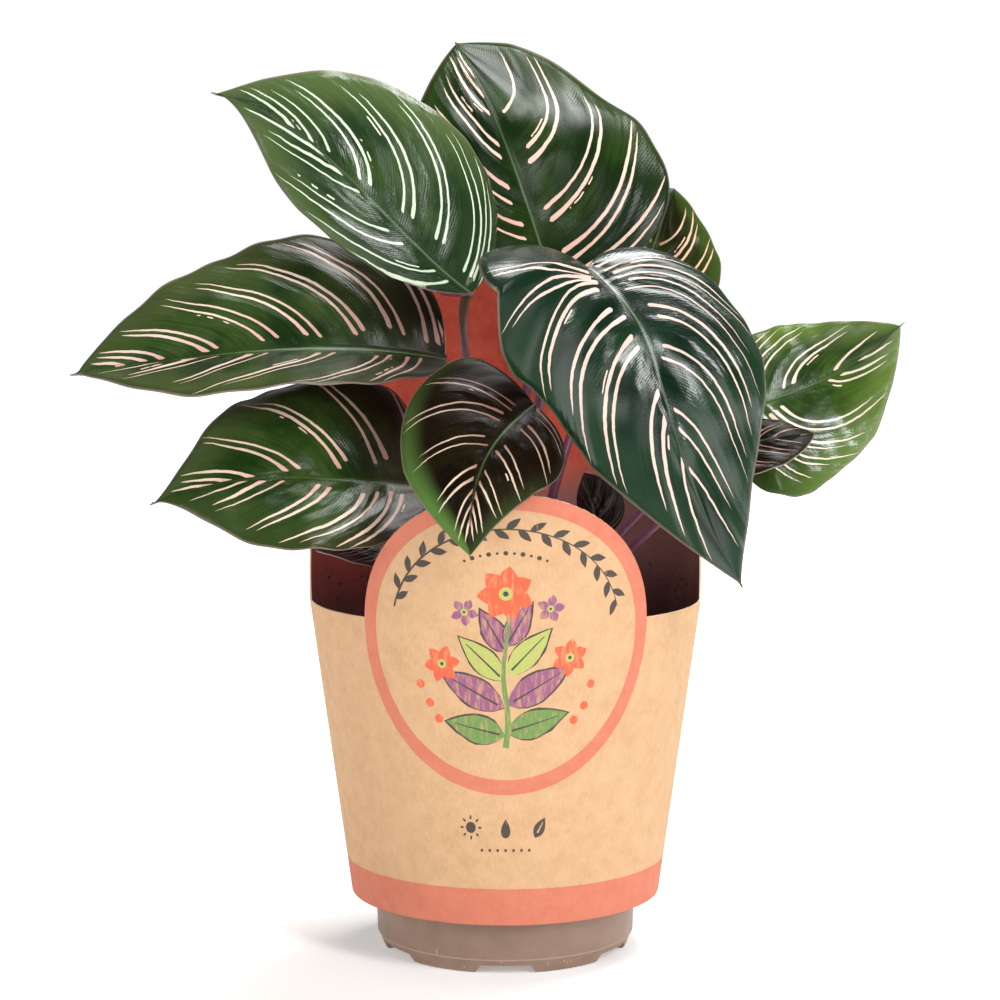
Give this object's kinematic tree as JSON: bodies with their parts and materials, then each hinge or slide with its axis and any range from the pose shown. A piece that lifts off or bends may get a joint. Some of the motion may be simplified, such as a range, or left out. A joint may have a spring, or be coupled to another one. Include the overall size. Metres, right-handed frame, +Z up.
{
  "type": "potted calathea",
  "caption": "Striped foliage plant rooted in a nursery pot, standing in a conical card sleeve with a round front badge and a tall back.",
  "frame": {"origin": "centre of the pot's underside, on the surface it stands on", "axes": "+Z up; -Y is the front, towards the round badge; +X is to the right, seen from the front"},
  "size_m": [0.2714, 0.1634, 0.3056],
  "materials": {
    "pot": "moulded recycled polypropylene with pale fibre flecks",
    "soil": "loose crumbly peat",
    "sleeve": "uncoated kraft card, coral inside, badge ring and foot band",
    "leaf": "glossy dark green with paired pale pink pinstripes, maroon underside",
    "leaf_pale": "glossy lighter green with pale pinstripes, maroon underside",
    "leaf_shade": "satin dark green and maroon young blade with pale pinstripes",
    "stalk": "smooth maroon stalk, greener towards the blade"
  },
  "bodies": {
    "root": {"pot": "pot", "soil": "soil", "sleeve": "sleeve", "leaf_top_left": "leaf_pale", "leaf_top": "leaf", "leaf_behind_top": "leaf", "leaf_mid_left": "leaf", "leaf_lower_left": "leaf", "leaf_small_front": "leaf_shade", "leaf_large_front": "leaf", "leaf_right": "leaf_pale", "leaf_tip_right": "leaf_shade", "leaf_inner_left": "leaf_shade", "leaf_inner_right": "leaf_shade", "stalk_top_left": "stalk", "stalk_top": "stalk", "stalk_behind_top": "stalk", "stalk_mid_left": "stalk", "stalk_lower_left": "stalk", "stalk_small_front": "stalk", "stalk_large_front": "stalk", "stalk_right": "stalk", "stalk_tip_right": "stalk", "stalk_inner_left": "stalk", "stalk_inner_right": "stalk"}
  },
  "joints": []
}
